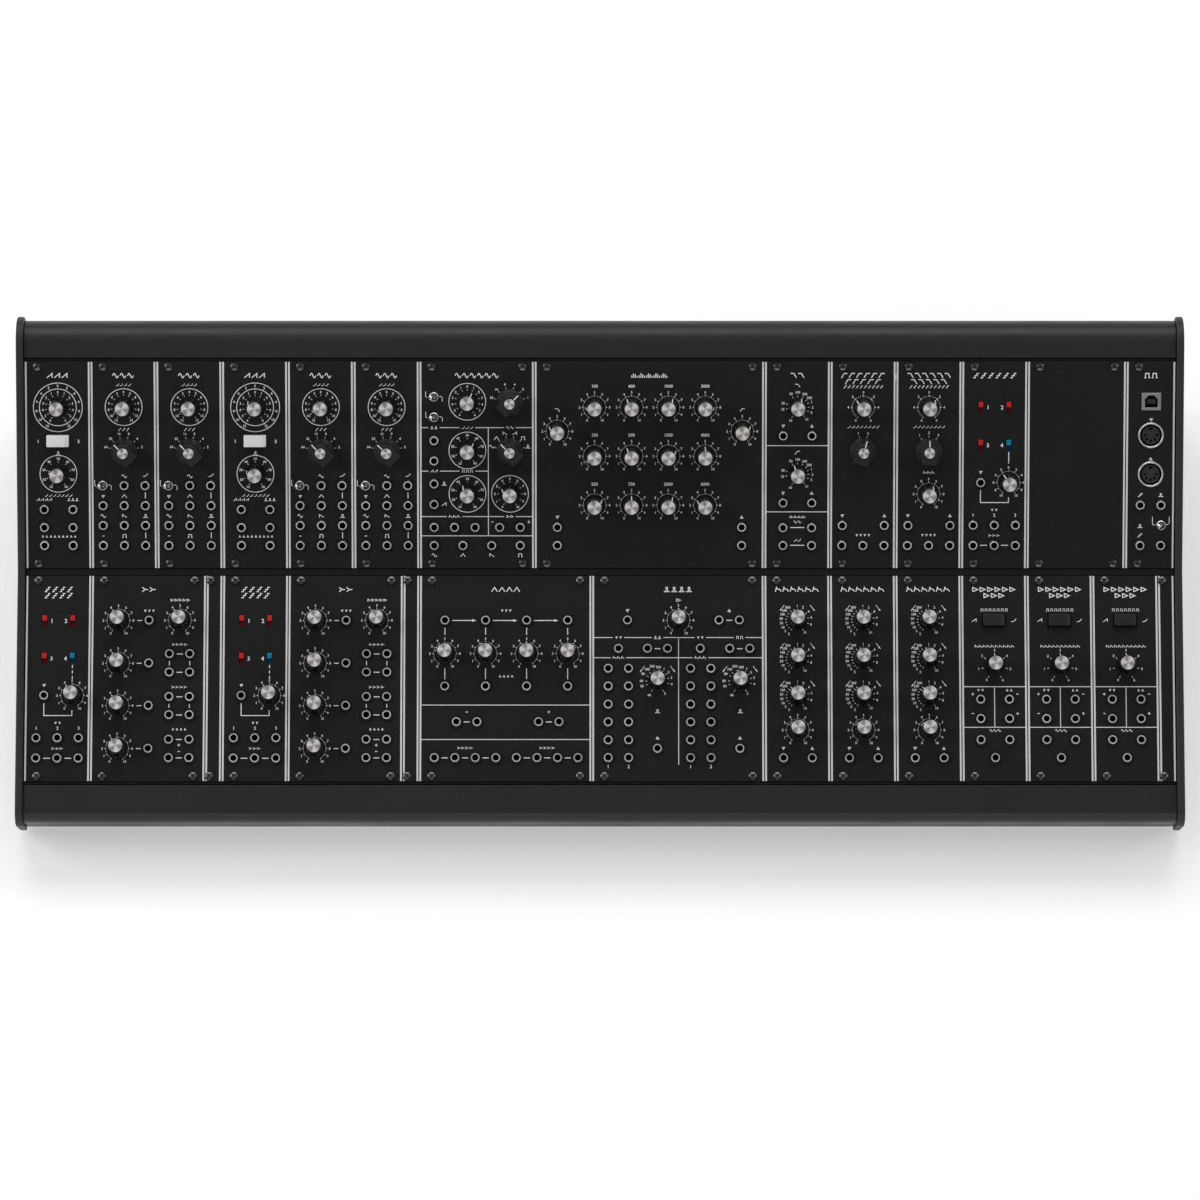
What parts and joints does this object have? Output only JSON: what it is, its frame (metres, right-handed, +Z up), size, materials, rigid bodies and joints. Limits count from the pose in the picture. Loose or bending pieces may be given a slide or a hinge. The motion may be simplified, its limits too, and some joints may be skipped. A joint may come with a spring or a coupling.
{
  "type": "modular synthesizer",
  "caption": "Wedge-shaped desktop case holding two tilted rows of black synthesizer modules with dials, selector knobs, switches and patch sockets.",
  "frame": {"origin": "on the ground under the middle of the whole case", "axes": "+X to the player's right, +Y away from the player to the back, +Z up"},
  "size_m": [0.7214, 0.301, 0.1518],
  "materials": {
    "cheek": "fine grained black",
    "case_paint": "satin black powder coat",
    "steel": "zinc plated sheet",
    "rail": "satin black paint on aluminium",
    "board": "solder mask",
    "inlet": "moulded",
    "foot": "moulded",
    "panel": "fine textured black paint with pale printing",
    "knob": "moulded black",
    "knob_cap": "spun face",
    "lever": "plated",
    "rocker_white": "moulded white",
    "rocker_black": "moulded black",
    "slide_red": "moulded red",
    "slide_blue": "moulded blue",
    "socket_metal": "plated",
    "screw": "black oxide",
    "print": "screen printed"
  },
  "bodies": {
    "root": {"left_cheek": "cheek", "right_cheek": "cheek", "front_cover": "case_paint", "top_cover": "case_paint", "rear_panel": "case_paint", "base_plate": "steel", "lower_rail": "rail", "middle_rail": "rail", "upper_rail": "rail", "power_supply": "steel", "bus_board": "board", "power_inlet": "inlet", "foot_front_left": "foot", "foot_front_right": "foot", "foot_rear_left": "foot", "foot_rear_right": "foot", "driver_left": "panel", "oscillators_left": "panel", "driver_right": "panel", "oscillators_right": "panel", "voltage_oscillator": "panel", "filter_bank": "panel", "filters": "panel", "high_pass_filter": "panel", "low_pass_filter": "panel", "control_voltages_upper": "panel", "blank_panel": "panel", "bus_interface": "panel", "control_voltages_left": "panel", "mixer_left": "panel", "control_voltages_middle": "panel", "mixer_middle": "panel", "attenuators": "panel", "trigger_interface": "panel", "envelope_generators": "panel", "amplifiers": "panel"},
    "driver_knob": {"driver_knob": "knob"},
    "oscillator_knob": {"oscillator_knob": "knob"},
    "voltage_knob": {"voltage_knob": "knob"},
    "filter_bank_knob": {"filter_bank_knob": "knob"},
    "filters_knob": {"filters_knob": "knob"},
    "high_pass_knob": {"high_pass_knob": "knob"},
    "low_pass_knob": {"low_pass_knob": "knob"},
    "control_voltage_knob": {"control_voltage_knob": "knob"},
    "mixer_knob": {"mixer_knob": "knob"},
    "attenuator_knob": {"attenuator_knob": "knob"},
    "sensitivity_knob": {"sensitivity_knob": "knob"},
    "attack_knob": {"attack_knob": "knob"},
    "gain_knob": {"gain_knob": "knob"},
    "oscillator_range_selector": {"oscillator_range_selector": "knob"},
    "octave_selector": {"octave_selector": "knob"},
    "high_pass_selector": {"high_pass_selector": "knob"},
    "low_pass_selector": {"low_pass_selector": "knob"},
    "oscillator_toggle": {"oscillator_toggle": "lever"},
    "sync_toggle": {"sync_toggle": "lever"},
    "interface_toggle": {"interface_toggle": "lever"},
    "driver_rocker": {"driver_rocker": "rocker_white"},
    "amplifier_rocker": {"amplifier_rocker": "rocker_black"},
    "power_rocker": {"power_rocker": "rocker_black"},
    "routing_slide_switch": {"routing_slide_switch": "slide_red"}
  },
  "joints": [
    {"name": "driver_knob_turn", "type": "hinge", "parent": "root", "child": "driver_knob", "pos_m": [-0.33508, 0.09039, 0.12915], "axis": [0, -0.4848, 0.8746], "range_deg": [-200, 100]},
    {"name": "oscillator_knob_turn", "type": "hinge", "parent": "root", "child": "oscillator_knob", "pos_m": [-0.29444, 0.0905, 0.12922], "axis": [0, -0.4848, 0.8746], "range_deg": [-260, 40]},
    {"name": "voltage_knob_turn", "type": "hinge", "parent": "root", "child": "voltage_knob", "pos_m": [-0.08203, 0.09342, 0.13084], "axis": [0, -0.4848, 0.8746], "range_deg": [-122, 178]},
    {"name": "filter_bank_knob_turn", "type": "hinge", "parent": "root", "child": "filter_bank_knob", "pos_m": [-0.00337, 0.09039, 0.12915], "axis": [0, -0.4848, 0.8746], "range_deg": [-243, 57]},
    {"name": "filters_knob_turn", "type": "hinge", "parent": "root", "child": "filters_knob", "pos_m": [0.12212, 0.09039, 0.12915], "axis": [0, -0.4848, 0.8746], "range_deg": [-125, 175]},
    {"name": "high_pass_knob_turn", "type": "hinge", "parent": "root", "child": "high_pass_knob", "pos_m": [0.16276, 0.09039, 0.12915], "axis": [0, -0.4848, 0.8746], "range_deg": [-195, 105]},
    {"name": "low_pass_knob_turn", "type": "hinge", "parent": "root", "child": "low_pass_knob", "pos_m": [0.2034, 0.09039, 0.12915], "axis": [0, -0.4848, 0.8746], "range_deg": [-108, 192]},
    {"name": "control_voltage_knob_turn", "type": "hinge", "parent": "root", "child": "control_voltage_knob", "pos_m": [0.25282, 0.04959, 0.10654], "axis": [0, -0.4848, 0.8746], "range_deg": [-183, 117]},
    {"name": "mixer_knob_turn", "type": "hinge", "parent": "root", "child": "mixer_knob", "pos_m": [-0.29811, -0.02852, 0.07222], "axis": [0, -0.2419, 0.9703], "range_deg": [-180, 120]},
    {"name": "attenuator_knob_turn", "type": "hinge", "parent": "root", "child": "attenuator_knob", "pos_m": [-0.09597, -0.0486, 0.06721], "axis": [0, -0.2419, 0.9703], "range_deg": [-225, 75]},
    {"name": "sensitivity_knob_turn", "type": "hinge", "parent": "root", "child": "sensitivity_knob", "pos_m": [0.04858, -0.0284, 0.07225], "axis": [0, -0.2419, 0.9703], "range_deg": [-150, 150]},
    {"name": "attack_knob_turn", "type": "hinge", "parent": "root", "child": "attack_knob", "pos_m": [0.12212, -0.0284, 0.07225], "axis": [0, -0.2419, 0.9703], "range_deg": [-180, 120]},
    {"name": "gain_knob_turn", "type": "hinge", "parent": "root", "child": "gain_knob", "pos_m": [0.24404, -0.0562, 0.06532], "axis": [0, -0.2419, 0.9703], "range_deg": [-160, 140]},
    {"name": "oscillator_range_selector_turn", "type": "hinge", "parent": "root", "child": "oscillator_range_selector", "pos_m": [-0.29444, 0.06623, 0.11576], "axis": [0, -0.4848, 0.8746], "range_deg": [-120, 30]},
    {"name": "octave_selector_turn", "type": "hinge", "parent": "root", "child": "octave_selector", "pos_m": [-0.05579, 0.09297, 0.13059], "axis": [0, -0.4848, 0.8746], "range_deg": [-30, 120]},
    {"name": "high_pass_selector_turn", "type": "hinge", "parent": "root", "child": "high_pass_selector", "pos_m": [0.16276, 0.06645, 0.11588], "axis": [0, -0.4848, 0.8746], "range_deg": [0, 30]},
    {"name": "low_pass_selector_turn", "type": "hinge", "parent": "root", "child": "low_pass_selector", "pos_m": [0.2034, 0.06645, 0.11588], "axis": [0, -0.4848, 0.8746], "range_deg": [-30, 30]},
    {"name": "oscillator_toggle_throw", "type": "hinge", "parent": "root", "child": "oscillator_toggle", "pos_m": [-0.30765, 0.04865, 0.10453], "axis": [0, 0.8746, 0.4848], "range_deg": [0, 24]},
    {"name": "sync_toggle_throw", "type": "hinge", "parent": "root", "child": "sync_toggle", "pos_m": [-0.10266, 0.09675, 0.13119], "axis": [0, 0.8746, 0.4848], "range_deg": [0, 24]},
    {"name": "interface_toggle_throw", "type": "hinge", "parent": "root", "child": "interface_toggle", "pos_m": [0.34734, 0.02707, 0.09257], "axis": [0, 0.8746, 0.4848], "range_deg": [0, 24]},
    {"name": "driver_rocker_rock", "type": "hinge", "parent": "root", "child": "driver_rocker", "pos_m": [-0.33508, 0.07267, 0.11819], "axis": [0, -0.8746, -0.4848], "range_deg": [0, 9]},
    {"name": "amplifier_rocker_rock", "type": "hinge", "parent": "root", "child": "amplifier_rocker", "pos_m": [0.24404, -0.02816, 0.07128], "axis": [0, -0.9703, -0.2419], "range_deg": [0, 9]},
    {"name": "power_rocker_rock", "type": "hinge", "parent": "root", "child": "power_rocker", "pos_m": [-0.2326, 0.14666, 0.049], "axis": [-1, 0, 0], "range_deg": [0, 9]},
    {"name": "routing_slide_switch_travel", "type": "slide", "parent": "root", "child": "routing_slide_switch", "axis": [0, 0.8746, 0.4848], "range_m": [-0.0035, 0]}
  ]
}
